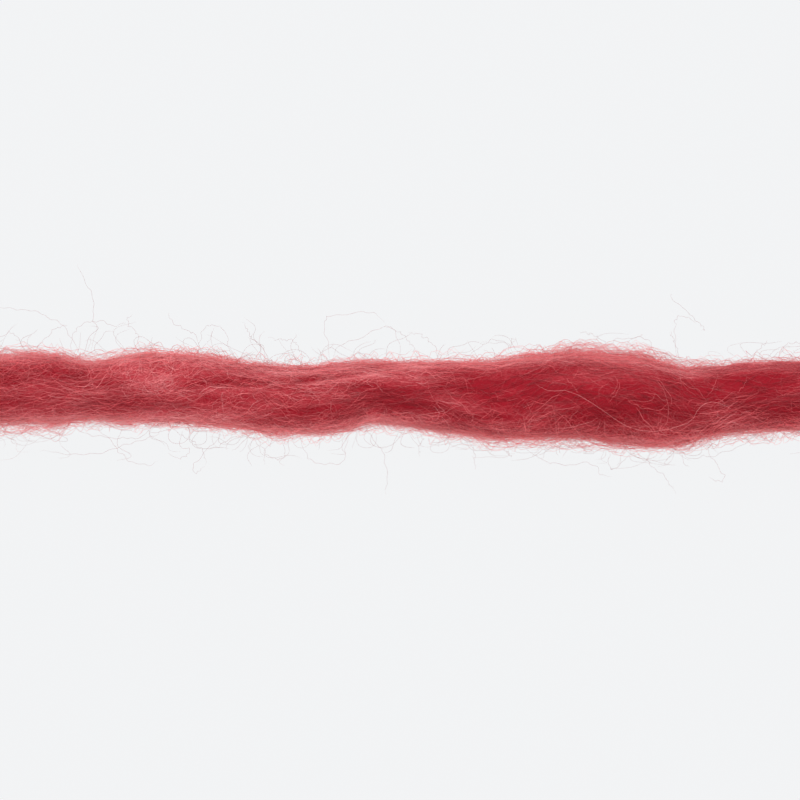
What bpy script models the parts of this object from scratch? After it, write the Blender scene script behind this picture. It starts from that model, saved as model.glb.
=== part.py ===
"""One cut length of thick, softly spun, single-ply wool yarn, lying straight on a flat surface.

The strand is a loose sliver of wool drawn out thick and thin, with hardly any twist. It is one closed solid:
rounded sections are lofted along +X, soft creases mark where one bundle of fibres laps over the next, and the
underside is pressed flat where it rests. The origin is on the surface, under the middle of the strand.
"""

import bpy
import numpy as np

# Driving dimensions, in metres, and angles in degrees. Round a section, 0 faces +Y, 90 is the top, 180 faces -Y
# and 270 is the middle of the underside.
MM = 0.001
LENGTH = 110 * MM
HEIGHT_TO_WIDTH = 0.86  # a soft strand settles a little under its own weight
REST_ANGLE = 27.0  # the flat underside reaches this far either side of 270
RELIEF_FADE = 30.0  # the creases run out over this angle above the flat underside
NOSE_LENGTH = 6.5 * MM  # each cut end rounds off over this length
NOSE_BLUNTNESS = 0.7  # below 1 the end stays full for longer
NOSE_RISE = 0.42  # a nose closes up towards this share of the strand's height

SECTIONS_AROUND = 40
ROW_SPACING = 2 * MM
NOSE_ROWS = 6

# The strand's outline from above. Each row is one section, in millimetres:
#   along   distance from the middle of the strand
#   back    its edge towards +Y
#   front   its edge towards -Y
OUTLINE = (
    # along, back, front
    (-55.0, 3.3, -2.4),
    (-48.0, 4.0, -2.9),
    (-40.0, 4.6, -2.8),
    (-35.5, 4.7, -2.8),
    (-31.0, 3.9, -2.5),
    (-26.0, 4.6, -2.7),
    (-20.0, 4.5, -3.0),
    (-13.5, 3.5, -3.5),
    (-9.5, 3.4, -3.8),
    (-6.0, 3.7, -3.5),
    (-3.5, 3.8, -2.8),
    (1.5, 3.8, -3.1),
    (5.0, 3.9, -3.6),
    (10.0, 4.1, -4.3),
    (16.5, 5.1, -4.5),
    (20.5, 4.9, -4.6),
    (25.0, 4.5, -5.1),
    (29.0, 3.4, -4.7),
    (35.0, 3.8, -3.6),
    (40.0, 4.0, -3.4),
    (48.0, 3.8, -3.6),
    (55.0, 2.9, -3.1),
)

# Creases where one bundle laps over the next. Each runs from one place to another, and fades out at both ends:
#   from_along, from_around   where it starts, in millimetres and degrees
#   to_along, to_around       where it ends
#   half_width, depth         millimetres
CREASES = (
    # from_along, from_around, to_along, to_around, half_width, depth
    (-46.0, 74.0, -29.0, 62.0, 1.1, 0.45),
    (-33.0, 114.0, -19.0, 118.0, 1.3, 0.50),
    (-21.0, 79.0, -1.0, 38.0, 0.7, 0.60),
    (-19.0, 98.0, 6.0, 107.0, 0.9, 0.50),
    (-18.0, 128.0, -8.0, 137.0, 0.7, 0.35),
    (5.0, 66.0, 18.0, 82.0, 1.3, 0.60),
    (14.0, 124.0, 28.0, 94.0, 1.1, 0.55),
    (30.0, 58.0, 39.0, 72.0, 1.1, 0.45),
    (34.0, 112.0, 50.0, 120.0, 1.0, 0.45),
    (-44.0, 196.0, -16.0, 182.0, 0.9, 0.45),
    (-10.0, 214.0, 18.0, 190.0, 1.0, 0.50),
    (22.0, 206.0, 46.0, 196.0, 0.9, 0.45),
    (-40.0, 344.0, -12.0, 356.0, 1.0, 0.45),
    (-8.0, 330.0, 20.0, 352.0, 0.9, 0.50),
    (24.0, 340.0, 48.0, 328.0, 1.0, 0.45),
)


def read_curve(places, values, at):
    """Reads a smooth curve through the given points: cubic pieces that share their slope where they meet."""
    slopes = np.gradient(values, places)
    piece = np.clip(np.searchsorted(places, at) - 1, 0, len(places) - 2)
    run = places[piece + 1] - places[piece]
    t = (at - places[piece]) / run
    return (
        (1 + 2 * t) * (1 - t) ** 2 * values[piece]
        + t * (1 - t) ** 2 * run * slopes[piece]
        + t**2 * (3 - 2 * t) * values[piece + 1]
        + t**2 * (t - 1) * run * slopes[piece + 1]
    )


def smooth_step(x):
    """Rises from 0 at x = 0 to 1 at x = 1 with no corner, and stays there."""
    x = np.clip(x, 0, 1)
    return x * x * (3 - 2 * x)


def place_rows():
    """Returns each section's place along the strand and its share of the full size, which falls at the ends.

    The middle rows are evenly spaced. The rows of a nose follow a quarter circle, so they close up at its tip."""
    half = LENGTH / 2 - NOSE_LENGTH
    count = round(2 * half / ROW_SPACING) + 1
    middle = np.linspace(-half, half, count)
    turn = np.radians(90 * np.arange(1, NOSE_ROWS + 1) / (NOSE_ROWS + 0.5))
    nose = half + NOSE_LENGTH * np.sin(turn)
    shrink = np.cos(turn) ** NOSE_BLUNTNESS
    along = np.concatenate([-nose[::-1], middle, nose])
    share = np.concatenate([shrink[::-1], np.ones(count), shrink])
    return along, share


def crease_depth(along, around, half_width):
    """Adds up the creases' depth over a grid of places: each is a round-bottomed trough beside its own line."""
    depth = np.zeros(np.broadcast(along, around).shape)
    for from_along, from_around, to_along, to_around, reach, deep in CREASES:
        t = (along / MM - from_along) / (to_along - from_along)
        line = from_around + (to_around - from_around) * np.clip(t, 0, 1)
        off = (around - line + 180) % 360 - 180
        beside = np.radians(off) * half_width / (reach * MM)
        ends = smooth_step(4 * t) * smooth_step(4 * (1 - t))
        depth += deep * MM * ends * np.exp(-(beside**2))
    return depth


def strand_points():
    """Works out the strand's surface, as a grid of one row for each section and one column for each angle.

    A section is an ellipse with a flat underside, as wide as the outline, and drawn in towards its centre at
    the creases. Below, above_flat is an angle's distance from the flat underside, and rise lifts the noses
    clear of the surface that the strand rests on."""
    along, share = place_rows()
    places, back, front = np.array(OUTLINE).T * MM
    back = read_curve(places, back, along)
    front = read_curve(places, front, along)
    middle = ((back + front) / 2)[:, None]
    share = share[:, None]
    half_width = share * ((back - front) / 2)[:, None]
    height = 2 * HEIGHT_TO_WIDTH * half_width
    rise = NOSE_RISE * height * (1 - share) / share

    around = np.arange(SECTIONS_AROUND)[None, :] * 360 / SECTIONS_AROUND
    turn = np.radians(around)
    above_flat = np.abs((around - 270 + 180) % 360 - 180) - REST_ANGLE
    relief = smooth_step(above_flat / RELIEF_FADE)
    drawn_in = 1 - relief * share * crease_depth(along[:, None], around, half_width) / half_width
    flat = np.cos(np.radians(REST_ANGLE))
    y = middle + half_width * np.cos(turn) * drawn_in
    z = height * (np.sin(turn) * drawn_in + flat) / (1 + flat)
    z = rise + np.where(above_flat < 0.001, 0.0, z)
    x = np.broadcast_to(along[:, None], y.shape)
    return np.stack([x, y, z], axis=2)


def close_surface(points):
    """Joins the grid's rows into a tube and closes each end on one point, and returns vertices and faces."""
    rows, columns = points.shape[:2]
    column = np.arange(columns)
    following = (column + 1) % columns
    start = np.arange(rows - 1)[:, None] * columns
    tube = np.stack([start + column, start + following, start + columns + following, start + columns + column], 2)
    tips = [points[end].mean(axis=0) for end in (0, -1)]
    tips[0][0] = -LENGTH / 2
    tips[1][0] = LENGTH / 2
    first_tip = rows * columns
    last_row = (rows - 1) * columns
    near_end = [(first_tip, b, a) for a, b in zip(column, following)]
    far_end = [(first_tip + 1, last_row + a, last_row + b) for a, b in zip(column, following)]
    vertices = np.concatenate([points.reshape(-1, 3), tips])
    faces = tube.reshape(-1, 4).tolist() + near_end + far_end
    return vertices, [[int(corner) for corner in face] for face in faces]


def centre_on_origin(vertices):
    """Moves the strand so that the middle of its footprint is over the origin."""
    middle = (vertices.min(axis=0) + vertices.max(axis=0)) / 2
    return vertices - (middle[0], middle[1], 0)


def wool(name, colour):
    """A dull wool finish of the given colour."""
    material = bpy.data.materials.new(name)
    material.use_nodes = True
    shader = material.node_tree.nodes["Principled BSDF"]
    shader.inputs["Base Color"].default_value = (*colour, 1)
    shader.inputs["Roughness"].default_value = 0.9
    shader.inputs["Metallic"].default_value = 0.0
    return material


def make_strand(collection):
    """The cut length of yarn."""
    vertices, faces = close_surface(strand_points())
    mesh = bpy.data.meshes.new("yarn_strand")
    mesh.from_pydata(centre_on_origin(vertices).tolist(), [], faces)
    mesh.materials.append(wool("red_wool", (0.42, 0.035, 0.05)))
    mesh.shade_smooth()
    strand = bpy.data.objects.new("yarn_strand", mesh)
    collection.objects.link(strand)


for old in list(bpy.data.objects):
    bpy.data.objects.remove(old)
parts = bpy.data.collections.new("Knitting yarn")
bpy.context.scene.collection.children.link(parts)
make_strand(parts)
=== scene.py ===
"""Looks of one cut length of thick, softly spun wool yarn, lying straight on a pale surface."""

import bpy
import numpy as np
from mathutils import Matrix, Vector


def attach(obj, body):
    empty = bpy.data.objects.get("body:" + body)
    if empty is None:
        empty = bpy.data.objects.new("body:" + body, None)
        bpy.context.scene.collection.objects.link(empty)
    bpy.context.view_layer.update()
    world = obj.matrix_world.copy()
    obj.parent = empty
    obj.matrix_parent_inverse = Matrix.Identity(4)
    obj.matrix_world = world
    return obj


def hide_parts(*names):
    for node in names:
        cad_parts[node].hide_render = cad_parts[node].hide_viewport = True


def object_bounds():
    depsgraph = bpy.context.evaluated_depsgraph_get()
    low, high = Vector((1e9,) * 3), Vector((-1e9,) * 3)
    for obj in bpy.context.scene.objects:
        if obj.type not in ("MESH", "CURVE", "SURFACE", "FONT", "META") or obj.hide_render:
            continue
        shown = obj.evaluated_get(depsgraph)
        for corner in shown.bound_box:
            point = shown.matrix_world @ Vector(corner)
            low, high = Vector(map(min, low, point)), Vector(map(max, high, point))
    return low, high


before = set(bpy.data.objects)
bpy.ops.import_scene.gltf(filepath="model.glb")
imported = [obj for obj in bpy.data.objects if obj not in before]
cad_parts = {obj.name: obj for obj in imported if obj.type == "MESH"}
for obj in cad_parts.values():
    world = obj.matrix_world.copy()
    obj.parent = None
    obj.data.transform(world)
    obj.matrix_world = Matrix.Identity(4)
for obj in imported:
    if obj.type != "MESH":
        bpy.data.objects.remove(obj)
cad_low, cad_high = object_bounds()
MM = 0.001

# --------------------------------------------------------------------
# The camera looks straight down on the strand through a long lens, close enough for single hairs to show. The
# strand runs past both sides of the view.

VIEW_WIDTH = 80 * MM
VIEW_CENTRE = -0.14 * MM  # the middle of the view lies this far across the strand
WIDEST_LEVEL = 3.6 * MM  # the height at which the strand is widest, which VIEW_WIDTH is measured at
SENSOR_WIDTH = 36.0  # millimetres, like the focal length
FOCAL_LENGTH = 100.0

lens = bpy.data.cameras.new("camera")
lens.sensor_width = SENSOR_WIDTH
lens.lens = FOCAL_LENGTH
lens.clip_start = 1 * MM
camera = bpy.data.objects.new("camera", lens)
camera.location = (0, VIEW_CENTRE, WIDEST_LEVEL + VIEW_WIDTH * FOCAL_LENGTH / SENSOR_WIDTH)
bpy.context.scene.collection.objects.link(camera)
bpy.context.scene.camera = camera

# --------------------------------------------------------------------
# The body of the strand: a loose sliver of carded and dyed wool, drawn out thick and thin and hardly twisted.
# It has felted a little, so that bundles of its fibres lap over each other in long soft folds.

# Angles are in degrees. Round a section, 0 faces +Y, 90 is the top, 180 faces -Y and 270 is the middle of
# the underside.
LENGTH = cad_high[0] - cad_low[0]
HEIGHT_TO_WIDTH = 0.86  # a soft strand settles a little under its own weight
REST_ANGLE = 27.0  # the flat underside reaches this far either side of 270
RELIEF_FADE = 30.0  # the folds and creases run out over this angle above the flat underside
UNDERSIDE_RELIEF = 0.15  # the share of them that is left there
NOSE_LENGTH = 6.5 * MM  # each cut end rounds off over this length
NOSE_BLUNTNESS = 0.7  # below 1 the end stays full for longer
NOSE_RISE = 0.42  # a nose closes up towards this share of the strand's height
NOSE_TIP = 0.985  # the last ring's place in a nose, as a share of its length
CLEARANCE = 0.08 * MM  # the body's underside stands on its lowest fibres
SKIN = 0.32 * MM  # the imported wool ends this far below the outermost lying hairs
GRAIN_RADIUS = 3.9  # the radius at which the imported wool's grain is drawn, in millimetres

# The fibres lie along the strand in a slow twist, which changes its hand with the sine of the place.
TWIST = 26.0
TWIST_LENGTH = 34 * MM
TWIST_START = 0.5

ROWS = 150
COLUMNS = 160

# The outline from above, in millimetres: back is the edge towards +Y, and front the edge towards -Y.
OUTLINE = (
    # along, back, front
    (-55.0, 3.3, -2.4),
    (-48.0, 4.0, -2.9),
    (-40.0, 4.6, -2.8),
    (-35.5, 4.7, -2.8),
    (-31.0, 3.9, -2.5),
    (-26.0, 4.6, -2.7),
    (-20.0, 4.5, -3.0),
    (-13.5, 3.5, -3.5),
    (-9.5, 3.4, -3.8),
    (-6.0, 3.7, -3.5),
    (-3.5, 3.8, -2.8),
    (1.5, 3.8, -3.1),
    (5.0, 3.9, -3.6),
    (10.0, 4.1, -4.3),
    (16.5, 5.1, -4.5),
    (20.5, 4.9, -4.6),
    (25.0, 4.5, -5.1),
    (29.0, 3.4, -4.7),
    (35.0, 3.8, -3.6),
    (40.0, 4.0, -3.4),
    (48.0, 3.8, -3.6),
    (55.0, 2.9, -3.1),
)

# Creases where one bundle laps over the next, in millimetres and degrees. The hairs fill them in part.
CREASE_SHARE = 0.35
CREASES = (
    # from_along, from_around, to_along, to_around, half_width, depth
    (-46.0, 74.0, -29.0, 62.0, 1.1, 0.45),
    (-33.0, 114.0, -19.0, 118.0, 1.3, 0.50),
    (-21.0, 79.0, -1.0, 38.0, 0.7, 0.60),
    (-19.0, 98.0, 6.0, 107.0, 0.9, 0.50),
    (-18.0, 128.0, -8.0, 137.0, 0.7, 0.35),
    (5.0, 66.0, 18.0, 82.0, 1.3, 0.60),
    (14.0, 124.0, 28.0, 94.0, 1.1, 0.55),
    (30.0, 58.0, 39.0, 72.0, 1.1, 0.45),
    (34.0, 112.0, 50.0, 120.0, 1.0, 0.45),
    (-44.0, 196.0, -16.0, 182.0, 0.9, 0.45),
    (-10.0, 214.0, 18.0, 190.0, 1.0, 0.50),
    (22.0, 206.0, 46.0, 196.0, 0.9, 0.45),
    (-40.0, 344.0, -12.0, 356.0, 1.0, 0.45),
    (-8.0, 330.0, 20.0, 352.0, 0.9, 0.50),
    (24.0, 340.0, 48.0, 328.0, 1.0, 0.45),
)

# Layers of random values on nets of cells, coarse to fine: the relief of uneven bundles, in millimetres,
# patches of deeper and paler dye, and how far the fibres' lay wanders, in degrees.
BUNDLES = (
    # cell_length (mm), cells_round, size, seed
    (9.0, 9, 0.12, 11),
    (6.0, 21, 0.06, 12),
    (4.0, 48, 0.03, 13),
)
PATCHES = (
    (8.0, 14, 0.10, 21),
    (3.0, 26, 0.08, 22),
)
WANDERING = (
    (12.0, 5, 13.0, 1),
    (7.0, 9, 6.0, 2),
)

# The dye took more deeply towards +X: by this much at DYE_PLACE, and twice as much well past it.
DYE_DEPTH = 0.09
DYE_PLACE = -2 * MM
DYE_RUN = 8 * MM

# Painted light and shade on the upper side, in millimetres as seen from above: a place is painted paler where
# loose fuzz or the top of a fold catches the light, and along stretches of the rims, where light comes
# through the fuzz, and painted deeper in the hollows, where shade falls and little lies over the imported
# wool.
SHADE_RELIEF = 0.12 * MM  # how far a whole shade stands out
PAINTED_LIGHT_AND_SHADE = (
    # from_along, from_across, to_along, to_across, half_width, paler
    (-41.0, 2.4, -38.4, 2.2, 0.8, -0.45),
    (-38.6, 1.7, -37.2, 1.9, 0.4, -0.35),
    (-36.0, 2.9, -33.4, 2.5, 0.8, -0.30),
    (-32.6, 2.7, -31.9, 2.4, 0.6, -0.50),
    (-35.6, 0.6, -33.4, 0.0, 0.6, -0.25),
    (-42.0, -1.0, -37.4, -0.3, 0.7, -0.38),
    (-29.4, -0.5, -25.0, -0.2, 0.9, -0.30),
    (-29.4, 1.3, -27.6, 1.5, 0.4, -0.35),
    (-22.2, 1.5, -20.0, 1.7, 0.5, -0.32),
    (-20.0, 1.5, -17.0, 1.8, 0.4, -0.38),
    (-22.3, -1.2, -20.6, -1.1, 0.5, -0.18),
    (-19.0, -0.1, -15.8, -0.6, 0.5, -0.40),
    (-15.0, 0.0, -14.0, 0.1, 0.3, -0.25),
    (-12.6, -0.3, -8.0, 0.1, 0.3, -0.25),
    (-11.4, -1.2, -9.5, -1.4, 0.4, -0.42),
    (-14.4, -2.4, -11.4, -2.0, 0.6, -0.34),
    (-10.0, 2.0, -8.4, 2.3, 0.3, -0.45),
    (-15.6, 1.9, -14.4, 2.0, 0.3, -0.28),
    (-8.4, -1.2, -5.6, -0.9, 0.7, -0.35),
    (-4.6, -0.4, -3.0, -0.3, 0.5, -0.25),
    (-4.4, 1.2, 0.4, 0.5, 0.6, -0.38),
    (-2.6, -0.3, -0.4, -0.1, 0.4, -0.40),
    (-1.6, -1.0, 2.6, -0.9, 0.5, -0.45),
    (3.8, 1.4, 6.0, 1.2, 0.5, -0.35),
    (6.8, 0.9, 10.4, 0.1, 0.5, -0.50),
    (7.6, 1.6, 13.6, 1.5, 0.5, -0.50),
    (8.6, -0.3, 12.0, -0.7, 0.5, -0.38),
    (5.6, -1.9, 10.8, -2.0, 0.4, -0.40),
    (13.0, 0.5, 19.6, 0.1, 0.7, -0.42),
    (16.0, 1.3, 18.0, 0.9, 0.5, -0.30),
    (17.2, -2.0, 20.0, -1.1, 0.7, -0.50),
    (20.6, -1.3, 23.6, -1.0, 1.1, -0.48),
    (23.8, -0.2, 25.6, -0.7, 0.7, -0.42),
    (21.4, 1.4, 23.4, 1.2, 0.6, -0.30),
    (26.0, 2.0, 27.2, 1.7, 0.5, -0.25),
    (27.0, 0.9, 30.0, 0.7, 0.7, -0.28),
    (27.6, -1.7, 29.0, -1.5, 0.6, -0.35),
    (32.4, 2.2, 34.0, 1.3, 0.7, -0.45),
    (34.9, 2.2, 35.6, 0.4, 0.6, -0.50),
    (36.2, 2.2, 38.0, 2.0, 0.6, -0.30),
    (30.4, -0.2, 32.4, -0.1, 0.3, -0.25),
    (34.0, -0.9, 37.0, -1.2, 0.8, -0.32),
    (37.6, -1.4, 41.0, -1.3, 0.8, -0.48),
    (-29.0, 3.6, -19.0, 3.8, 0.9, 0.34),
    (-27.6, 2.6, -23.0, 1.9, 0.8, 0.28),
    (-30.6, 1.6, -29.8, 0.4, 0.6, 0.30),
    (-37.0, -2.0, -22.0, -2.1, 0.5, 0.32),
    (-21.0, -2.0, -15.6, -2.1, 0.5, 0.28),
    (-26.0, 1.0, -21.0, 0.6, 0.7, 0.18),
    (-19.6, 1.0, -14.0, 1.0, 0.4, 0.34),
    (-14.0, 1.1, -12.0, 1.7, 0.35, 0.30),
    (-12.0, 1.7, -7.4, 1.7, 0.35, 0.38),
    (-7.4, 1.7, -2.4, 2.5, 0.4, 0.42),
    (-2.4, 2.5, 3.0, 2.0, 0.6, 0.30),
    (-14.0, 3.0, -10.6, 2.8, 0.6, 0.36),
    (-8.0, 2.9, 2.0, 3.1, 0.6, 0.40),
    (-13.0, -0.7, -9.0, -0.8, 0.3, 0.22),
    (-3.4, -2.2, 3.4, -2.2, 0.7, 0.34),
    (4.4, -0.2, 7.2, -1.4, 0.6, 0.26),
    (9.0, -2.6, 15.6, -2.8, 0.7, 0.20),
    (12.0, 4.0, 23.0, 4.2, 0.9, 0.36),
    (18.6, 3.1, 24.0, 2.8, 0.9, 0.24),
    (26.6, 2.6, 30.0, 2.4, 0.7, 0.30),
    (25.8, 0.8, 26.2, -2.4, 0.3, 0.14),
    (30.0, -0.4, 31.0, -0.5, 0.4, 0.14),
    (31.6, -2.4, 34.6, -2.6, 0.6, 0.24),
    (20.8, 1.6, 21.2, -0.4, 0.3, 0.16),
    (15.0, -1.2, 17.4, -2.0, 0.4, 0.14),
    (20.0, -4.4, 28.0, -4.5, 0.5, 0.35),
    (28.0, -4.2, 40.0, -3.0, 0.6, 0.50),
    (1.0, 3.3, 11.0, 3.6, 0.6, 0.42),
    (11.0, 4.2, 20.0, 4.8, 0.5, 0.36),
    (22.0, 3.9, 28.6, 2.9, 0.6, 0.34),
    (31.0, 3.3, 40.0, 3.5, 0.5, -0.25),
    (10.0, -3.9, 20.0, -4.1, 0.5, 0.25),
    (-14.0, 2.4, -1.0, 2.2, 0.5, 0.15),
    (-24.6, -0.5, -19.6, -0.9, 0.5, 0.14),
)

# Fringes: stretches of an edge where the wool has loosened into open hairs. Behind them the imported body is
# drawn in by depth, and they reach past its outline by reach, both in millimetres. FRINGE_SPREAD is how far
# round the body that tells.
FRINGE_SPREAD = 24.0
FRINGES = (
    # from_along, to_along, around (degrees), depth, reach
    (-48.0, -44.0, 2.0, 0.40, 0.4),
    (-42.0, -33.0, 4.0, 0.05, 0.9),
    (-34.0, -24.0, 2.0, 0.15, 1.0),
    (-24.0, -14.0, 6.0, 0.05, 0.6),
    (-14.0, 3.0, 4.0, 0.10, 0.4),
    (4.0, 13.0, 8.0, 0.05, 0.7),
    (11.0, 21.0, 10.0, 0.30, 1.0),
    (18.0, 27.0, 6.0, 0.50, 1.0),
    (24.0, 30.2, 4.0, 0.62, 0.6),
    (31.0, 40.0, 6.0, 0.00, 0.3),
    (-42.0, -34.0, 182.0, 0.45, 1.3),
    (-34.0, -28.0, 182.0, 0.35, 0.5),
    (-28.0, -12.0, 183.0, 0.45, 0.3),
    (-13.0, -4.0, 184.0, 0.30, 0.2),
    (8.0, 22.0, 178.0, 0.45, 0.9),
    (20.0, 28.0, 182.0, 0.15, 0.5),
    (28.0, 36.0, 184.0, 0.60, 0.7),
    (40.0, 46.0, 178.0, 0.40, 0.4),
)


def read_curve(places, values, at):
    """Reads a smooth curve through the given points: cubic pieces that share their slope where they meet."""
    slopes = np.gradient(values, places, axis=0)
    piece = np.clip(np.searchsorted(places, at) - 1, 0, len(places) - 2)
    run = places[piece + 1] - places[piece]
    t = (at - places[piece]) / run
    if np.ndim(values) > 1:
        run = run[..., None]
        t = t[..., None]
    return (
        (1 + 2 * t) * (1 - t) ** 2 * values[piece]
        + t * (1 - t) ** 2 * run * slopes[piece]
        + t**2 * (3 - 2 * t) * values[piece + 1]
        + t**2 * (t - 1) * run * slopes[piece + 1]
    )


def smooth_step(x):
    """Rises from 0 at x = 0 to 1 at x = 1 with no corner, and stays there."""
    x = np.clip(x, 0, 1)
    return x * x * (3 - 2 * x)


def from_angle(around, angle):
    """How far round from an angle each place is, the short way, in degrees from -180 to 180."""
    return (around - angle + 180) % 360 - 180


def net_noise(along, around, cell_length, cells_round, seed):
    """Random values from -1 to 1 on a net of cells that closes round the strand, smoothly blended between."""
    rng = np.random.default_rng(seed)
    net = rng.uniform(-1, 1, (int(2 * LENGTH / cell_length) + 3, cells_round))
    a = (along + LENGTH) / cell_length
    b = (around % 360) / 360 * cells_round
    row = np.clip(a.astype(int), 0, len(net) - 2)
    column = b.astype(int) % cells_round
    right = (column + 1) % cells_round
    up = smooth_step(a - row)
    across = smooth_step(b - np.floor(b))
    low = net[row, column] * (1 - across) + net[row, right] * across
    high = net[row + 1, column] * (1 - across) + net[row + 1, right] * across
    return low * (1 - up) + high * up


def net_layers(along, around, layers):
    """Adds up a table's layers of random values at each place."""
    return sum(size * net_noise(along, around, cell * MM, cells, seed) for cell, cells, size, seed in layers)


def drift(along, around):
    """How far the fibres' lay has turned from a straight line along the strand, in degrees: the slow twist
    and the random wandering."""
    return TWIST * np.sin(along / TWIST_LENGTH + TWIST_START) + net_layers(along, around, WANDERING)


def follow_lay(along, lay):
    """The angle round the strand of a fibre that keeps to one line of the lay, corrected three times."""
    around = lay + np.zeros_like(along)
    for _ in range(3):
        around = lay - drift(along, around)
    return around


def section_at(along):
    """The section's middle, half width, height and rise off the surface at each place, and its share of the
    full size, which falls at the ends as a quarter circle does. shift centres the footprint."""
    places, back, front = np.array(OUTLINE).T * MM
    shift = (back.max() + front.min()) / 2
    back = read_curve(places, back, along)
    front = read_curve(places, front, along)
    into_nose = (np.abs(along) - (LENGTH / 2 - NOSE_LENGTH)) / NOSE_LENGTH
    share = np.sqrt(1 - np.clip(into_nose, 0, NOSE_TIP) ** 2) ** NOSE_BLUNTNESS
    full = (back - front) / 2
    half_width = share * full
    height = 2 * HEIGHT_TO_WIDTH * half_width
    rise = NOSE_RISE * 2 * HEIGHT_TO_WIDTH * full * (1 - share)
    return (back + front) / 2 - shift, half_width, height, rise, share


def angle_of(along, across):
    """The angle round the section of a place on the upper side that is seen from above at across."""
    middle, half_width = section_at(along)[:2]
    return np.degrees(np.arccos(np.clip((across - middle) / half_width, -1, 1)))


def crease_depth(along, around, half_width):
    """Adds up the creases' depth at each place: each is a round-bottomed trough beside its own line."""
    depth = np.zeros(np.broadcast(along, around).shape)
    for from_along, from_around, to_along, to_around, reach, deep in CREASES:
        t = (along / MM - from_along) / (to_along - from_along)
        line = from_around + (to_around - from_around) * np.clip(t, 0, 1)
        beside = np.radians(from_angle(around, line)) * half_width / (reach * MM)
        ends = smooth_step(4 * t) * smooth_step(4 * (1 - t))
        depth += deep * MM * ends * np.exp(-(beside**2))
    return depth


def painted_light_and_shade_at(along, around):
    """Adds up the painted light and shade at each place: each row is a bell curve beside its line and past
    its ends.
    """
    half_width = section_at(along)[1]
    found = np.zeros(np.broadcast(along, around).shape)
    for from_along, from_across, to_along, to_across, reach, paler in PAINTED_LIGHT_AND_SHADE:
        t = np.clip((along / MM - from_along) / (to_along - from_along), 0, 1)
        line = angle_of(along, (from_across + (to_across - from_across) * t) * MM)
        beside = np.radians(from_angle(around, line)) * half_width / (reach * MM)
        past = (along / MM - from_along - (to_along - from_along) * t) / (1.5 * reach)
        found += paler * np.exp(-(beside**2) - past**2)
    return found


def fringe_depth(along, around):
    """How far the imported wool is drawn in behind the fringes, which run out gently at their ends."""
    depth = np.zeros(np.broadcast(along, around).shape)
    for from_along, to_along, angle, deep, _ in FRINGES:
        t = (along / MM - from_along) / (to_along - from_along)
        ends = smooth_step(3 * t) * smooth_step(3 * (1 - t))
        depth += deep * MM * ends * np.exp(-((from_angle(around, angle) / FRINGE_SPREAD) ** 2))
    return depth


def relief(along, around, half_width):
    """How far the surface stands out from its plain section: bundles and folds, less creases and hollows."""
    bundles = MM * net_layers(along, around + drift(along, around), BUNDLES)
    folds = SHADE_RELIEF * painted_light_and_shade_at(along, around) - CREASE_SHARE * crease_depth(along, around, half_width)
    return bundles + folds - fringe_depth(along, around)


def off_underside(around):
    """0 over the flat underside, rising to 1 where the folds and creases are full."""
    return smooth_step((np.abs(from_angle(around, 270)) - REST_ANGLE) / RELIEF_FADE)


def on_strand(along, around, lift):
    """Points on the strand's surface, lifted off it along the plain section's normal, and the normals.

    A section is an ellipse with a flat underside. Nothing comes below the surface that the strand lies on."""
    middle, half_width, height, rise, share = section_at(along)
    turn = np.radians(around)
    flat = np.cos(np.radians(REST_ANGLE))
    normal_y = np.cos(turn) / half_width
    normal_z = np.sin(turn) * (1 + flat) / height
    size = np.hypot(normal_y, normal_z)
    kept = UNDERSIDE_RELIEF + (1 - UNDERSIDE_RELIEF) * off_underside(around)
    out = lift + share * kept * relief(along, around, half_width)
    y = middle + half_width * np.cos(turn) + out * normal_y / size
    z = rise + np.maximum(height * (np.sin(turn) + flat) / (1 + flat), 0) + out * normal_z / size
    x = along + np.zeros_like(y)
    normals = np.stack([np.zeros_like(y), normal_y / size, normal_z / size], axis=-1)
    return np.stack([x, y, z], axis=-1), normals


def paleness(along, around):
    """How pale the wool is at each place, from 0 to 1: the sum of the painted light and shade, of the random
    patches and of a painted paler rim down each side, which stands in for light coming through the fuzz at
    the edges, less the painted shade in the creases and the deeper dye. Where the dye is deeper, the painted
    light and shade tell more."""
    half_width = section_at(along)[1]
    patches = net_layers(along, around + drift(along, around), PATCHES)
    deeper = 1 + np.tanh((along - DYE_PLACE) / DYE_RUN)
    across = np.cos(np.radians(around))
    # Painted light: the paler rim down each side stands in for light coming through the fuzz at the edges,
    # and the front, towards -Y, is painted a little paler than the back.
    sides = 0.44 * np.abs(across) ** 7 - 0.06 * across
    folds = (0.58 + 0.06 * deeper) * painted_light_and_shade_at(along, around)
    # Painted shade: the wool is darker in the creases.
    creases = 0.08 * crease_depth(along, around, half_width) / MM
    return 0.51 - DYE_DEPTH * deeper + patches + sides + folds - creases


def make_piece(name, points, faces, maps, values=None):
    """Makes a mesh object from an array of points, arrays of faces, a UV place for each corner of a face, and
    named point values."""
    mesh = bpy.data.meshes.new(name)
    corners = np.concatenate([rows.ravel() for rows in faces])
    sizes = np.concatenate([np.full(len(rows), rows.shape[1]) for rows in faces])
    mesh.vertices.add(len(points))
    mesh.vertices.foreach_set("co", points.astype(np.float32).ravel())
    mesh.loops.add(len(corners))
    mesh.loops.foreach_set("vertex_index", corners.astype(np.int32))
    mesh.polygons.add(len(sizes))
    mesh.polygons.foreach_set("loop_start", (np.cumsum(sizes) - sizes).astype(np.int32))
    layer = mesh.uv_layers.new(name="OFBake")
    layer.uv.foreach_set("vector", maps.astype(np.float32).ravel())
    for label, numbers in (values or {}).items():
        kind, field = ("FLOAT_VECTOR", "vector") if numbers.ndim > 1 else ("FLOAT", "value")
        made = mesh.attributes.new(label, kind, "POINT")
        made.data.foreach_set(field, numbers.astype(np.float32).ravel())
    mesh.update(calc_edges=True)
    mesh.shade_smooth()
    piece = bpy.data.objects.new(name, mesh)
    bpy.context.scene.collection.objects.link(piece)
    return piece


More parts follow.
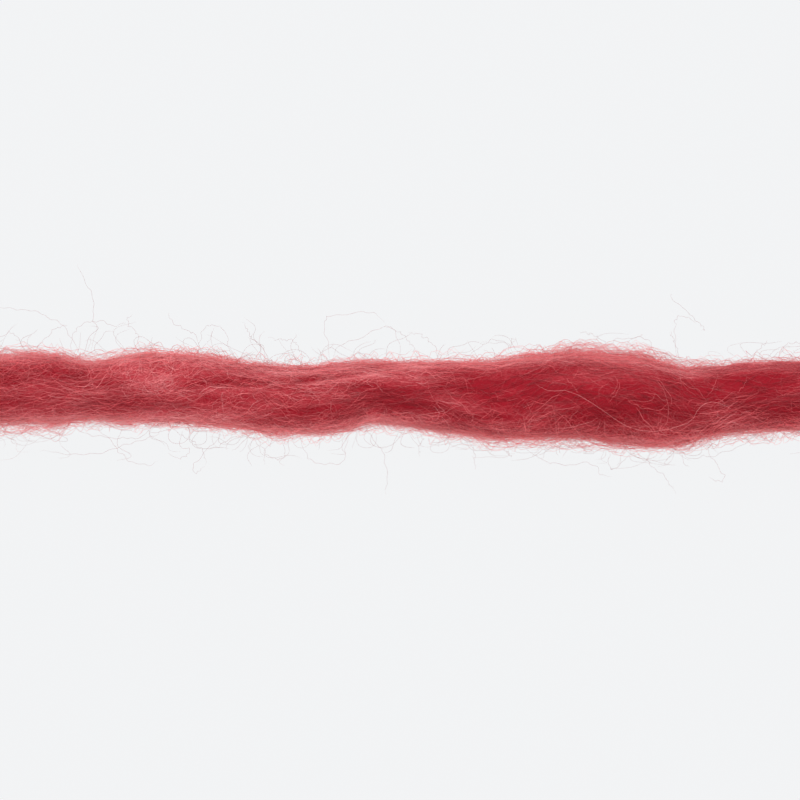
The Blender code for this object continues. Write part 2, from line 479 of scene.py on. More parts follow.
def body_faces():
    """Faces for a grid of rings that the body's two tips follow: the tube, and a fan round each tip."""
    column = np.arange(COLUMNS)
    following = (column + 1) % COLUMNS
    start = np.arange(ROWS - 1)[:, None] * COLUMNS
    tube = [start + column, start + following, start + COLUMNS + following, start + COLUMNS + column]
    first_tip = ROWS * COLUMNS
    last_row = (ROWS - 1) * COLUMNS
    near_end = np.stack([np.full(COLUMNS, first_tip), following, column], axis=1)
    far_end = np.stack([np.full(COLUMNS, first_tip + 1), last_row + column, last_row + following], axis=1)
    return [np.stack(tube, axis=2).reshape(-1, 4), near_end, far_end]


def map_corners(*places):
    """UV places in a list, from the two coordinates of each of the faces' corners in turn."""
    return np.stack(np.broadcast_arrays(*places), axis=-1).reshape(-1, 2)


def body_map():
    """The UV places for those faces. The map runs once round the body and once along it."""
    left = np.arange(COLUMNS) / COLUMNS
    right = (np.arange(COLUMNS) + 1) / COLUMNS
    middle = (left + right) / 2
    low = np.arange(ROWS - 1)[:, None] / (ROWS - 1)
    high = np.arange(1, ROWS)[:, None] / (ROWS - 1)
    tube = map_corners(left, low, right, low, right, high, left, high)
    near_end = map_corners(middle, 0.0, right, 0.0, left, 0.0)
    far_end = map_corners(middle, 1.0, left, 1.0, right, 1.0)
    return np.concatenate([tube, near_end, far_end])


def strand_body():
    """The body as a grid of rings, closed on a point at each end. Its points also hold their paleness, with
    its painted light and shade, and their place in wool that is combed straight."""
    half = LENGTH / 2
    nose = half - NOSE_LENGTH * (1 - NOSE_TIP)
    along = np.linspace(-nose, nose, ROWS)[:, None] + np.zeros(COLUMNS)
    around = np.arange(COLUMNS) * 360 / COLUMNS + np.zeros((ROWS, 1))
    share = section_at(along)[4]
    points, _ = on_strand(along, around, -SKIN * share * off_underside(around))
    points[..., 2] = np.maximum(points[..., 2], CLEARANCE)
    tips = np.stack([points[0].mean(axis=0), points[-1].mean(axis=0)])
    tips[:, 0] = (-half, half)

    lay = np.radians(around + drift(along, around))
    combed = np.stack([along / MM, GRAIN_RADIUS * np.cos(lay), GRAIN_RADIUS * np.sin(lay)], axis=-1)
    values = {"combed": combed.reshape(-1, 3), "pale": paleness(along, around).ravel()}
    for label, numbers in values.items():
        values[label] = np.concatenate([numbers, numbers[:1], numbers[-1:]])
    vertices = np.concatenate([points.reshape(-1, 3), tips])
    return make_piece("strand_body", vertices, body_faces(), body_map(), values)


class Reading:
    """One output of a finish's nodes, with the arithmetic of plain numbers: each step adds a Math node."""

    def __init__(self, finish, socket):
        self.finish = finish
        self.socket = socket

    def work_out(self, operation, first, second=0.0):
        return self.finish.node("ShaderNodeMath", {"operation": operation}, {0: first, 1: second})

    def __add__(self, other):
        return self.work_out("ADD", self, other)

    def __radd__(self, other):
        return self.work_out("ADD", other, self)

    def __sub__(self, other):
        return self.work_out("SUBTRACT", self, other)

    def __rsub__(self, other):
        return self.work_out("SUBTRACT", other, self)

    def __mul__(self, other):
        return self.work_out("MULTIPLY", self, other)

    def __rmul__(self, other):
        return self.work_out("MULTIPLY", other, self)

    def __abs__(self):
        return self.work_out("ABSOLUTE", self)


class Finish:
    """A material in the making, on one Principled shader."""

    def __init__(self, name):
        self.material = bpy.data.materials.new(name)
        self.material.use_nodes = True
        self.shader = self.material.node_tree.nodes["Principled BSDF"]

    def feed(self, socket, value):
        if isinstance(value, Reading):
            self.material.node_tree.links.new(value.socket, socket)
        else:
            socket.default_value = value

    def node(self, kind, settings=None, inputs=None, output=0):
        """Adds a node: its settings first, a ramp's stops among them, then its inputs by name or number."""
        made = self.material.node_tree.nodes.new(kind)
        for name, value in (settings or {}).items():
            if name == "stops":
                while len(made.color_ramp.elements) < len(value):
                    made.color_ramp.elements.new(0.5)
                for element, (place, colour) in zip(made.color_ramp.elements, value):
                    element.position = place
                    element.color = (*colour, 1)
            else:
                setattr(made, name, value)
        for name, value in (inputs or {}).items():
            self.feed(made.inputs[name], value)
        return Reading(self, made.outputs[output])

    def set(self, **inputs):
        """Sets or links the shader's own inputs, with underscores for spaces."""
        for name, value in inputs.items():
            self.feed(self.shader.inputs[name.replace("_", " ")], value)


DEEP_RED = (0.29, 0.007, 0.016)
RED = (0.43, 0.043, 0.055)
LIGHT_RED = (0.68, 0.160, 0.175)
PALE_RED = (0.90, 0.33, 0.345)
SHEEN_TINT = (1.0, 0.5, 0.5, 1)


def body_finish():
    """Packed wool: thin lines that wind along the lay and across it, as felted hairs do, over soft streaks. A
    line is drawn wherever a noise passes through one value."""
    wool = Finish("packed_wool")
    combed = wool.node("ShaderNodeAttribute", {"attribute_name": "combed"}, output="Vector")
    pale = wool.node("ShaderNodeAttribute", {"attribute_name": "pale"}, output="Fac")

    def grain(stretch, scale, detail, roughness):
        drawn_out = wool.node("ShaderNodeMapping", inputs={"Vector": combed, "Scale": (stretch, 1.0, 1.0)})
        inputs = {"Vector": drawn_out, "Scale": scale, "Detail": detail, "Roughness": roughness}
        return wool.node("ShaderNodeTexNoise", inputs=inputs)

    def hair_lines(stretch, scale, sharpness):
        away = abs(grain(stretch, scale, 1.5, 0.5) - 0.5) * sharpness
        return wool.node("ShaderNodeMath", {"operation": "SUBTRACT", "use_clamp": True}, {0: 1.0, 1: away})

    streaks = grain(0.2, 5.0, 4.0, 0.65)
    along = hair_lines(0.22, 6.5, 11.0) + hair_lines(0.3, 4.1, 15.0)
    across = hair_lines(0.6, 3.0, 18.0) + hair_lines(1.0, 1.9, 26.0)
    lines = along + across
    # pale brings the painted light and shade into the body's colour: paler rims and lit folds, shaded hollows
    # and creases.
    tone = 0.8 * pale + 0.30 * streaks + 0.12 * lines - 0.34
    colour = wool.node(
        "ShaderNodeValToRGB",
        {"stops": ((0.1, DEEP_RED), (0.45, RED), (0.75, LIGHT_RED), (1.0, PALE_RED))},
        {"Fac": tone},
    )
    height = 0.4 * streaks + 0.3 * lines
    bump = wool.node("ShaderNodeBump", inputs={"Height": height, "Strength": 0.8, "Distance": 0.07 * MM})
    wool.set(Base_Color=colour, Normal=bump, Roughness=0.9, Specular_IOR_Level=0.1)
    wool.set(Sheen_Weight=1.0, Sheen_Roughness=0.35, Sheen_Tint=SHEEN_TINT)
    return wool.material


body = strand_body()
body.data.materials.append(body_finish())
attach(body, "root")
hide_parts("yarn_strand")

# --------------------------------------------------------------------
# The combed hairs: the dyed wool hairs that form the outside of the strand, 22 to 38 micrometres thick.
# They lie along it, each a little off its neighbours' line, and their ends sink in among the others.

MEAN_RADIUS = 4 * MM  # a hair's steps sideways are turned into angles at this radius
SIDE_SPREAD = 22.0  # the spread of the hairs that keep to one side of the strand, in degrees
SIDE_WIDTH = 0.008  # the share of the map's width that each of a hair's three sides takes

def unit(vectors):
    """The vectors' directions, each of length 1."""
    return vectors / np.maximum(np.linalg.norm(vectors, axis=-1, keepdims=True), 1e-12)


def lay_hairs(paths, radius):
    """Turns centrelines into thin three-sided hairs, closed at both ends.

    paths is hairs by stations by 3, and radius is hairs by stations. Each ring stands square to its hair, and
    its turn is carried from ring to ring so that a hair doesn't twist. Returns points and faces."""
    hairs, stations = paths.shape[:2]
    heading = unit(np.gradient(paths, axis=1))
    side = np.zeros_like(paths)
    carried = np.eye(3)[np.abs(heading[:, 0]).argmin(axis=1)]
    for station in range(stations):
        ahead = heading[:, station]
        carried = unit(carried - ahead * (carried * ahead).sum(axis=1, keepdims=True))
        side[:, station] = carried
    other = np.cross(heading, side)
    corner = np.radians(120 * np.arange(3))[:, None]
    ring = side[:, :, None] * np.cos(corner) + other[:, :, None] * np.sin(corner)
    points = paths[:, :, None] + radius[:, :, None, None] * ring
    start = np.arange(hairs)[:, None] * stations * 3
    ring_start = start[:, None] + np.arange(stations - 1)[:, None] * 3
    here = ring_start + np.arange(3)
    beside = ring_start + (np.arange(3) + 1) % 3
    sides = np.stack([here, beside, beside + 3, here + 3], axis=3).reshape(-1, 4)
    near_end = start + np.array([0, 2, 1])
    far_end = start + (stations - 1) * 3 + np.array([0, 1, 2])
    return points.reshape(-1, 3), [sides, near_end, far_end]


def hair_maps(shade, stations):
    """A UV map for hairs: each lies at its own shade across the map, with its root at the bottom."""
    left = np.clip(shade, SIDE_WIDTH, 1 - 4 * SIDE_WIDTH)[:, None, None] + SIDE_WIDTH * np.arange(3)
    right = left + SIDE_WIDTH
    low = (np.arange(stations - 1) / (stations - 1))[:, None]
    high = low + 1 / (stations - 1)
    sides = map_corners(left, low, right, low, right, high, left, high)
    return np.concatenate([sides, map_corners(left, 0.0), map_corners(left, 1.0)])


def hair_finish(name, stops, roughness, gloss, fade=0.06):
    """Single hairs, each of one shade that its place on the map gives. By its far end a hair has moved on
    by fade along the stops."""
    hair = Finish(name)
    place = hair.node("ShaderNodeUVMap", {"uv_map": "OFBake"})
    shade = hair.node("ShaderNodeSeparateXYZ", inputs={0: place}, output="X")
    reach = hair.node("ShaderNodeSeparateXYZ", inputs={0: place}, output="Y")
    colour = hair.node("ShaderNodeValToRGB", {"stops": stops}, {"Fac": shade + fade * reach})
    hair.set(Base_Color=colour, Roughness=roughness, Specular_IOR_Level=gloss)
    return hair.material


def add_hairs(name, finish, paths, radius, shade):
    """Makes one piece of many hairs, which taper to their ends and stay above the surface they lie on."""
    stations = paths.shape[1]
    t = np.linspace(0, 1, stations)
    taper = np.clip(1 - np.abs(2 * t - 1) ** 6, 0.25, 1)
    radius = radius[:, None] * taper
    paths[..., 2] = np.maximum(paths[..., 2], radius * 1.2)
    points, faces = lay_hairs(paths, radius)
    piece = make_piece(name, points, faces, hair_maps(shade, stations))
    piece.data.materials.append(finish)
    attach(piece, "root")


def add_varied_hairs(name, finish, paths, rng, radius, shade, base=0.0):
    """Makes one piece of hairs that differ: radius is a range in millimetres, and shade is the middle and the
    spread of what is added to base."""
    count = len(paths)
    radii = rng.uniform(*radius, count) * MM
    add_hairs(name, finish, paths, radii, np.clip(base + rng.normal(*shade, count), 0, 1))


def draw_places(rng, count, leave_out, on_sides):
    """Starting places for hairs: more than are needed are drawn at random, and the ones on the deepest wool
    are left out, so that hollows stay clear. None start on the underside, and a share of them, on_sides,
    keep to the two sides."""
    drawn = int(count * (1 + leave_out))
    along = rng.uniform(-0.5, 0.5, (drawn, 1)) * LENGTH
    around = rng.uniform(-55, 235, (drawn, 1))
    beside = rng.choice([0, 180], (drawn, 1)) + rng.normal(0, SIDE_SPREAD, (drawn, 1))
    around = np.where(rng.uniform(0, 1, (drawn, 1)) < on_sides, beside, around)
    worth = paleness(along, around)[:, 0] + rng.normal(0, 0.25, drawn)
    kept = np.sort(np.argsort(worth)[drawn - count :])
    return along[kept], around[kept]


def walk(heading, step):
    """How far forward and sideways hairs have come after each of their steps, at headings in degrees."""
    turn = np.radians(heading)
    return np.cumsum(np.cos(turn), axis=1) * step, np.cumsum(np.sin(turn), axis=1) * step


def wander(along, around, heading, length):
    """Follows hairs over the strand: each takes equal steps, which its heading turns away from the lay. A
    hair that would run past an end of the strand turns back there."""
    forward, sideways = walk(heading, length / (heading.shape[1] - 1))
    along = along + forward
    end = LENGTH / 2 - 0.4 * MM
    along = np.where(np.abs(along) > end, np.sign(along) * (2 * end - np.abs(along)), along)
    return along, follow_lay(along, around + np.degrees(sideways / MEAN_RADIUS))


def surface_hairs(
    seed, count, stations, length, lean, curl, crimp, low, spread, free=0.0, leave_out=0.0, on_sides=0.0
):
    """Hairs that lie on the strand or arch off it. Returns their paths, the paleness of the wool under
    them, and what goes on drawing random values.

    length is a range, in millimetres as low and spread are. lean is the spread of the headings, curl the
    spread of their steady turn in degrees for each millimetre, and crimp the depth of their waves. A hair
    rises from inside the skin to low plus a random height, about spread on average. Most sink back in, and
    a share of them, free, end at their highest."""
    rng = np.random.default_rng(seed)
    each = (count, 1)  # one value for each hair
    t = np.linspace(0, 1, stations)
    long = rng.uniform(*length, each)
    along, around = draw_places(rng, count, leave_out, on_sides)
    back = 180 * (rng.uniform(0, 1, each) < 0.5)
    wave = rng.uniform(1.2, 3.0, each)
    phase = rng.uniform(0, 2 * np.pi, each)
    heading = back + rng.normal(0, lean, each) + rng.normal(0, curl, each) * long * (t - 0.5)
    ripple = 2 * np.pi * long * t / wave
    heading = heading + crimp * np.sin(ripple + phase)
    along, around = wander(along, around, heading, long * MM)
    height = (low + np.minimum(rng.exponential(spread, each), 3.5 * spread)) * MM
    ends_free = rng.uniform(0, 1, each) < free
    arch = np.where(ends_free, smooth_step(1.6 * t), 1 - np.abs(2 * t - 1) ** 3)
    waver = 0.25 * np.sin(ripple * 1.4 + 2 * phase)
    lift = (height + SKIN) * arch * (1 + waver) - 1.2 * SKIN
    paths, _ = on_strand(along, around, lift)
    return paths, paleness(along, around).mean(axis=1), rng


def add_layer(name, finish, seed, radius, follows, shade, **lie):
    """Makes two pieces of hairs that lie as surface_hairs says. Each hair's shade follows the paleness of
    the wool under it by the share that follows gives, so the wool's painted light and shade carry over to the
    hairs."""
    for number in range(2):
        paths, pale, rng = surface_hairs(seed + number, **lie)
        add_varied_hairs(f"{name}_{number + 1}", finish, paths, rng, radius, shade, follows * pale)


HAIR_SHADES = (
    (0.0, (0.30, 0.011, 0.020)),
    (0.4, (0.51, 0.076, 0.089)),
    (0.6, (0.76, 0.166, 0.181)),
    (0.8, (0.88, 0.290, 0.302)),
    (1.0, (0.97, 0.430, 0.440)),
)
combed_finish = hair_finish("combed_hair", HAIR_SHADES, roughness=0.6, gloss=0.12)
add_layer(
    "combed_hairs", combed_finish, seed=100, radius=(0.011, 0.019), follows=0.95, shade=(0.0, 0.13),
    count=4400, stations=6, length=(1.5, 4.6), lean=16, curl=15, crimp=12, low=-0.26, spread=0.07,
)

# --------------------------------------------------------------------
# The felted hairs: fine short ones that worked out in carding and handling and matted down again, so they
# cross the others at every angle in small arcs. They gather where the strand is palest.

felted_finish = hair_finish("felted_hair", HAIR_SHADES, roughness=0.5, gloss=0.15)
add_layer(
    "felted_hairs", felted_finish, seed=200, radius=(0.008, 0.014), follows=0.9, shade=(0.11, 0.15),
    count=4400, stations=6, length=(0.8, 2.8), lean=45, curl=50, crimp=18, low=-0.20, spread=0.16,
    free=0.15, leave_out=0.7, on_sides=0.2,
)

# --------------------------------------------------------------------
# The fuzz: hairs that have lifted off the body in low arches, densest close to it. They soften its edges,
# and the pale ground shows between them. At a fringe they lie side by side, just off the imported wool.

FUZZ_SHADES = (
    (0.0, (0.46, 0.040, 0.050)),
    (0.4, (0.81, 0.130, 0.145)),
    (0.6, (0.91, 0.238, 0.248)),
    (1.0, (0.96, 0.440, 0.440)),
)
fuzz_finish = hair_finish("fuzz_hair", FUZZ_SHADES, roughness=0.5, gloss=0.2)
add_layer(
    "fuzz_hairs", fuzz_finish, seed=300, radius=(0.010, 0.018), follows=0.9, shade=(-0.08, 0.13),
    count=2600, stations=7, length=(1.2, 4.2), lean=26, curl=30, crimp=18, low=-0.12, spread=0.34,
    free=0.30, leave_out=0.3, on_sides=0.6,
)


def fringe_hairs(seed, density, stations):
    """Hairs side by side along each fringe, in long flat arches over the drawn-in wool behind it. Fewer
    reach the fringe's outer side. density is their number on each square millimetre of the fringe as seen
    from above."""
    rng = np.random.default_rng(seed)
    t = np.linspace(0, 1, stations)
    fringes = np.array(FRINGES)
    room = (fringes[:, 1] - fringes[:, 0]) * (fringes[:, 3] + fringes[:, 4])
    row = np.repeat(np.arange(len(fringes)), (room * density).astype(int))
    from_along, to_along, angle, depth, reach = fringes[row].T[:, :, None]
    each = (len(row), 1)
    long = rng.uniform(1.6, 6.0, each)
    start = (from_along + rng.uniform(0.0, 1.0, each) * (to_along - from_along) - long / 2) * MM
    wave = rng.uniform(1.2, 3.5, each)
    phase = rng.uniform(0, 2 * np.pi, each)
    ripple = 2 * np.pi * long * t / wave
    heading = rng.normal(0, 8, each) + rng.normal(0, 6, each) * long * (t - 0.5)
    forward, sideways = walk(heading + 8 * np.sin(ripple + phase), long * MM / stations)
    around = angle + rng.normal(0, SIDE_SPREAD, each) + np.degrees(sideways / MEAN_RADIUS)
    height = (depth + reach) * MM * rng.uniform(0, 1, each) ** 1.6
    waver = 1 + 0.12 * np.sin(ripple + 2 * phase)
    lift = height * (1 - np.abs(2 * t - 1) ** 3) * waver - 0.1 * MM
    return on_strand(start + forward, around, lift)[0], rng


paths, rng = fringe_hairs(seed=350, density=10.0, stations=8)
add_varied_hairs("fringe_hairs", fuzz_finish, paths, rng, radius=(0.009, 0.016), shade=(0.45, 0.16))

# --------------------------------------------------------------------
# The stray hairs: long curly single hairs that stand off the strand to both sides, and end in the air or come
# back to it. Others have settled across its top again, in plain sight.

# Strays whose curves are worth keeping, each as places along and across, in millimetres, seen from above,
# from the strand outwards.
STRAYS = (
    ((-31.2, 3.9), (-30.3, 7.0), (-30.8, 7.9), (-30.6, 8.9), (-30.8, 10.2), (-31.2, 11.2),
     (-31.8, 12.3), (-32.3, 13.4)),
    ((-32.0, 4.4), (-33.2, 6.8), (-35.1, 8.2), (-37.7, 8.9), (-41.0, 9.1)),
    ((-25.8, 4.0), (-26.1, 5.8), (-26.3, 6.7), (-26.9, 7.2), (-27.2, 8.0), (-26.8, 8.3)),
    ((-19.8, 4.0), (-20.3, 6.1), (-20.9, 6.6), (-22.0, 7.2), (-22.9, 7.9), (-23.1, 8.6)),
    ((-17.0, 3.6), (-17.2, 5.8), (-17.7, 6.9), (-18.6, 7.4), (-19.5, 7.1), (-20.0, 6.0), (-20.2, 4.2)),
    ((-12.9, 3.2), (-13.7, 5.1), (-14.8, 6.0), (-15.1, 6.7), (-15.7, 7.6)),
    ((-36.7, 4.2), (-37.6, 5.1), (-38.2, 6.2), (-38.9, 6.6), (-40.0, 6.0), (-41.0, 5.4)),
    ((-37.0, 4.4), (-35.5, 6.0), (-34.4, 7.1), (-33.2, 7.3)),
    ((-33.0, 4.2), (-32.7, 6.0), (-32.1, 7.1), (-31.0, 7.6), (-29.9, 7.7), (-28.5, 7.3), (-27.3, 7.6)),
    ((-7.0, 3.4), (-7.2, 5.4), (-7.5, 6.6), (-7.5, 7.7), (-7.2, 8.3), (-5.8, 8.3),
     (-3.5, 8.7), (-2.3, 8.4), (-1.5, 7.2)),
    ((2.0, 3.4), (1.4, 4.9), (0.7, 6.0), (-0.4, 6.9), (-1.5, 7.2)),
    ((0.0, 3.6), (-0.1, 5.2), (-0.4, 6.6), (-1.1, 7.1), (-2.2, 7.0), (-3.6, 6.2),
     (-5.3, 5.6), (-6.3, 5.0), (-6.8, 3.6)),
    ((3.7, 3.6), (3.6, 5.0), (2.8, 5.9), (1.9, 6.5), (0.7, 6.5)),
    ((6.2, 3.6), (7.7, 4.9), (8.6, 5.6), (9.5, 5.9), (10.6, 5.7), (11.0, 5.2),
     (11.2, 5.9), (11.7, 5.9), (11.8, 4.8)),
    ((-9.8, 3.2), (-10.1, 5.0), (-10.8, 5.8), (-11.9, 5.9), (-13.2, 6.1)),
    ((30.2, 6.8), (30.4, 7.0), (29.9, 7.5), (29.2, 8.2), (28.3, 9.1), (27.4, 9.8), (27.1, 10.6)),
    ((27.6, 3.6), (27.6, 6.6), (27.7, 7.8), (28.1, 8.3), (29.0, 8.1), (29.6, 7.6)),
    ((25.5, 4.0), (24.9, 5.8), (23.8, 6.1), (22.4, 6.0), (21.2, 5.7), (20.8, 4.4)),
    ((28.2, 3.4), (27.3, 5.5), (26.9, 6.7)),
    ((21.3, 4.5), (20.2, 5.8), (19.1, 6.4), (17.9, 6.7)),
    ((34.6, 3.6), (35.9, 5.0), (36.9, 5.8)),
    ((36.6, 3.4), (37.7, 4.6), (38.7, 5.5), (39.9, 5.4), (41.4, 4.2)),
    ((-17.6, -2.9), (-18.6, -4.4), (-19.5, -5.3), (-20.6, -6.5), (-20.6, -7.3), (-20.1, -7.3), (-19.5, -6.6)),
    ((-23.2, -2.7), (-21.8, -3.7), (-20.6, -4.4), (-19.7, -5.4), (-19.5, -6.6)),
    ((-30.8, -2.6), (-28.8, -4.2), (-27.9, -5.3), (-26.8, -6.2), (-25.4, -6.6), (-24.2, -6.4)),
    ((-23.4, -2.8), (-24.9, -3.9), (-26.8, -4.4), (-28.8, -5.1), (-31.4, -5.6), (-34.0, -5.4), (-36.0, -5.2)),
    ((-33.2, -2.6), (-30.6, -3.7), (-28.3, -3.9), (-26.3, -3.9), (-24.3, -2.8)),
    ((-21.6, -3.0), (-22.0, -4.7), (-21.0, -5.1), (-21.4, -5.8), (-22.2, -5.9), (-23.4, -5.4)),
    ((-19.3, -5.2), (-18.1, -4.7), (-16.8, -4.0), (-15.4, -3.7), (-14.3, -4.4), (-13.7, -5.6), (-13.5, -6.7)),
    ((-14.6, -3.2), (-13.9, -4.5), (-13.4, -5.4), (-12.5, -6.0), (-11.7, -5.9), (-11.5, -5.1), (-12.2, -3.4)),
    ((-5.2, -3.2), (-5.4, -5.1), (-5.9, -6.4), (-7.5, -6.5), (-8.8, -6.2), (-9.5, -5.3), (-10.1, -3.4)),
    ((-3.6, -2.2), (-3.0, -3.7), (-2.0, -4.9), (-1.5, -6.2), (-1.3, -8.0), (-1.4, -9.6)),
    ((1.4, -2.6), (2.3, -4.0), (1.9, -4.7), (2.0, -5.8)),
    ((8.9, -3.9), (10.4, -5.1), (11.2, -5.9)),
    ((11.6, -4.3), (14.1, -6.0), (15.4, -6.5), (16.8, -6.6), (18.1, -6.4), (19.5, -6.7),
     (20.0, -7.6), (21.1, -7.8)),
    ((21.8, -4.3), (23.8, -5.8), (24.9, -6.5), (26.1, -7.5), (27.0, -8.5), (27.5, -9.5)),
    ((31.2, -3.4), (30.8, -5.3), (31.5, -6.5), (32.2, -7.6), (32.1, -8.2), (31.5, -8.2), (30.8, -7.8)),
    ((6.2, -3.4), (7.3, -4.9), (7.5, -7.1)),
    ((36.0, -3.3), (34.4, -4.6), (31.7, -5.7), (30.4, -5.8), (28.8, -5.9), (27.0, -4.4)),
    ((20.9, -4.6), (21.1, -6.9), (21.8, -6.8), (24.0, -4.8)),
)

# Single pale hairs that lie across the top of the strand, given in the same way. The first is the longest,
# and the easiest to see.
SETTLED = (
    ((13.2, 1.5), (13.8, 1.2), (14.8, 0.8), (16.5, 0.7), (19.0, -0.6), (21.0, -1.9), (23.0, -2.9),
     (25.5, -3.2), (28.5, -2.3), (29.2, -1.2), (29.9, -0.6), (31.0, -0.4), (32.4, -0.8), (33.4, -1.4)),
    ((16.3, 1.9), (17.0, 1.2), (17.4, 0.6)),
    ((21.0, 2.2), (21.5, 1.3), (21.1, 0.4), (20.4, -0.4)),
    ((21.3, 2.0), (21.2, 1.1), (20.6, 0.2)),
    ((25.0, 2.2), (25.8, 0.8), (26.3, -0.7), (26.2, -2.2), (25.6, -3.3)),
    ((12.4, -0.3), (12.8, -1.3), (12.2, -2.1)),
    ((15.2, -1.2), (16.5, -2.2), (17.3, -3.0), (18.1, -3.8)),
    ((17.6, -0.9), (16.5, -2.2), (15.8, -3.2)),
    ((34.4, 2.2), (34.0, 1.3), (33.2, 0.5)),
    ((33.8, -0.8), (35.0, -1.8), (36.3, -2.2), (38.2, -2.3)),
    ((4.6, 0.5), (6.0, -0.5), (7.0, -1.5), (8.7, -1.7)),
    ((2.8, 0.8), (3.6, -0.4), (4.4, -1.3), (5.2, -2.3)),
    ((5.2, -0.2), (6.6, -0.9), (7.2, -1.9), (6.6, -2.6)),
    ((-36.9, 4.2), (-36.7, 3.0), (-36.8, 1.6)),
    ((-19.8, -2.8), (-18.8, -1.7), (-17.4, -0.6), (-15.4, 0.0)),
    ((-12.2, -0.8), (-11.0, -1.9), (-9.8, -2.8), (-8.6, -3.3)),
    ((-13.0, -2.2), (-11.0, -1.6), (-8.6, -1.7), (-7.0, -1.0)),
    ((-26.0, 3.4), (-23.2, 2.4), (-21.0, 2.1), (-18.4, 1.3)),
    ((-33.0, 4.4), (-31.4, 3.2), (-30.6, 2.0), (-30.4, 0.8)),
    ((-32.2, 4.3), (-30.2, 3.5), (-28.2, 3.2), (-26.4, 3.4)),
    ((-2.0, -1.8), (0.2, -1.4), (2.2, -1.9), (4.0, -1.6)),
    ((-8.0, 0.6), (-5.6, 0.2), (-3.4, 0.7), (-1.6, 1.5)),
    ((27.4, 2.6), (28.0, 1.4), (29.4, 0.8), (30.2, -0.3)),
    ((22.2, -0.4), (23.0, -0.1), (24.0, -0.4), (24.7, 0.0), (25.0, 0.5)),
    ((22.0, 0.0), (23.0, -0.6), (24.0, -1.0), (25.5, -1.1), (26.5, -1.0)),
    ((23.5, 0.5), (24.7, 0.5), (25.5, 0.0), (26.4, -0.2)),
    ((25.2, 2.6), (25.5, 1.7), (26.0, 1.0), (26.6, 0.0), (26.5, -0.8)),
    ((28.5, 2.4), (29.1, 2.7), (30.1, 2.5), (31.0, 2.8), (31.5, 2.2), (31.2, 1.6), (30.7, 0.7), (30.1, -0.1)),
    ((19.7, -3.6), (18.0, -3.4), (16.7, -2.5), (16.2, -1.6)),
)


def through_points(drawn, stations):
    """A smooth curve through each drawn hair's points, with its stations spread evenly between them."""
    curves = []
    for points in drawn:
        places = np.arange(len(points)) / (len(points) - 1)
        curves.append(read_curve(places, np.array(points) * MM, np.linspace(0, 1, stations)))
    return np.array(curves)


def drawn_strays(seed, stations):
    """The drawn strays, which rise and fall a little at about the height of the strand's middle, and waver
    in two finer waves."""
    rng = np.random.default_rng(seed)
    flat = through_points(STRAYS, stations)
    t = np.linspace(0, 1, stations)
    count = len(flat)
    swell = rng.uniform(-1.6, 1.6, (count, 1)) * np.sin(np.pi * t) + rng.uniform(-0.8, 0.8, (count, 1)) * t
    crimp = np.zeros((2, count, stations))
    for waves in ((3, 5), (6, 9)):
        turns = rng.uniform(*waves, (2, count, 1)) * t + rng.uniform(0, 1, (2, count, 1))
        crimp += 0.07 * MM * np.sin(2 * np.pi * turns)
    return np.stack([flat[..., 0] + crimp[0], flat[..., 1] + crimp[1], WIDEST_LEVEL + swell * MM], axis=-1)


def stand_off(root, out, forward, outward, sideways):
    """Paths that leave their roots by so much at each station: along the strand, straight out and aside."""
    lengthwise = (1.0, 0.0, 0.0)
    aside = np.cross(out, lengthwise)
    return root + forward[..., None] * lengthwise + outward[..., None] * out + sideways[..., None] * aside


def stray_hairs(seed, count, stations):
    """Hairs that leave the surface and curl freely: each stays near a plane of its own through the strand's
    length, and the turn of its heading swings to and fro as it goes. There are more of them towards -X,
    and they stand further out there. Towards +X more of them are on the front than on the back."""
    rng = np.random.default_rng(seed)
    each = (count, 1)
    t = np.linspace(0, 1, stations)
    length = rng.uniform(2.0, 7.5, each) * MM
    along = (rng.uniform(0, 1, each) ** 1.3 - 0.5) * 0.98 * LENGTH
    back_share = 0.42 - 0.18 * np.tanh(along / (15 * MM))
    side = np.where(rng.uniform(0, 1, each) < back_share, 0, 180)
    around = side + rng.normal(0, 34, each)
    root, out = on_strand(along, around, -0.2 * MM)
    heading = rng.uniform(5, 175, each)
    swing = rng.uniform(15, 60, each)
    wave = rng.uniform(3, 8, each) * MM
    curl = rng.normal(0, 28, each) * length * t / MM
    heading = heading + swing * np.sin(2 * np.pi * length * t / wave) + curl
    forward, outward = walk(heading, length / (stations - 1))
    reach = (3.3 - 1.1 * np.tanh(along / (15 * MM))) * MM
    outward = reach * np.tanh(outward / reach)
    leaning = rng.normal(0, 0.22, each) * length * t**1.5
    paths = stand_off(root, out, forward, outward, leaning)
    paths[..., 0] = np.clip(paths[..., 0], -LENGTH / 2 - 4 * MM, LENGTH / 2 + 4 * MM)
    return paths, rng


def settled_hairs(seed, stations):
    """The settled hairs, which waver a little and lie just clear of the hairs below, except at their ends."""
    rng = np.random.default_rng(seed)
    t = np.linspace(0, 1, stations)
    flat = through_points(SETTLED, stations)
    turns = rng.uniform(2.0, 4.0, (len(flat), 1)) * t + rng.uniform(0, 1, (len(flat), 1))
    along = flat[..., 0]
    across = flat[..., 1] + 0.08 * MM * np.sin(2 * np.pi * turns)
    lift = 0.14 * MM * (1 - np.abs(2 * t - 1) ** 6) + 0.02 * MM
    return on_strand(along, angle_of(along, across), lift)[0]


# The stray hairs run from red at the strand to grey at their far ends: painted light, standing in for the red
# light that the wool throws on the hairs nearest it.
STRAY_SHADES = (
    (0.0, (0.42, 0.036, 0.045)),
    (0.3, (0.38, 0.085, 0.090)),
    (0.6, (0.37, 0.135, 0.132)),
    (1.0, (0.56, 0.235, 0.230)),
)
stray_finish = hair_finish("stray_hair", STRAY_SHADES, roughness=0.5, gloss=0.2, fade=0.5)

paths, rng = stray_hairs(seed=400, count=480, stations=18)
add_varied_hairs("stray_hairs", stray_finish, paths, rng, radius=(0.006, 0.011), shade=(0.18, 0.16))

paths = drawn_strays(seed=410, stations=44)
radius = np.full(len(STRAYS), 0.0095 * MM)
shade = np.full(len(STRAYS), 0.15)
add_hairs("long_strays", stray_finish, paths, radius, shade)

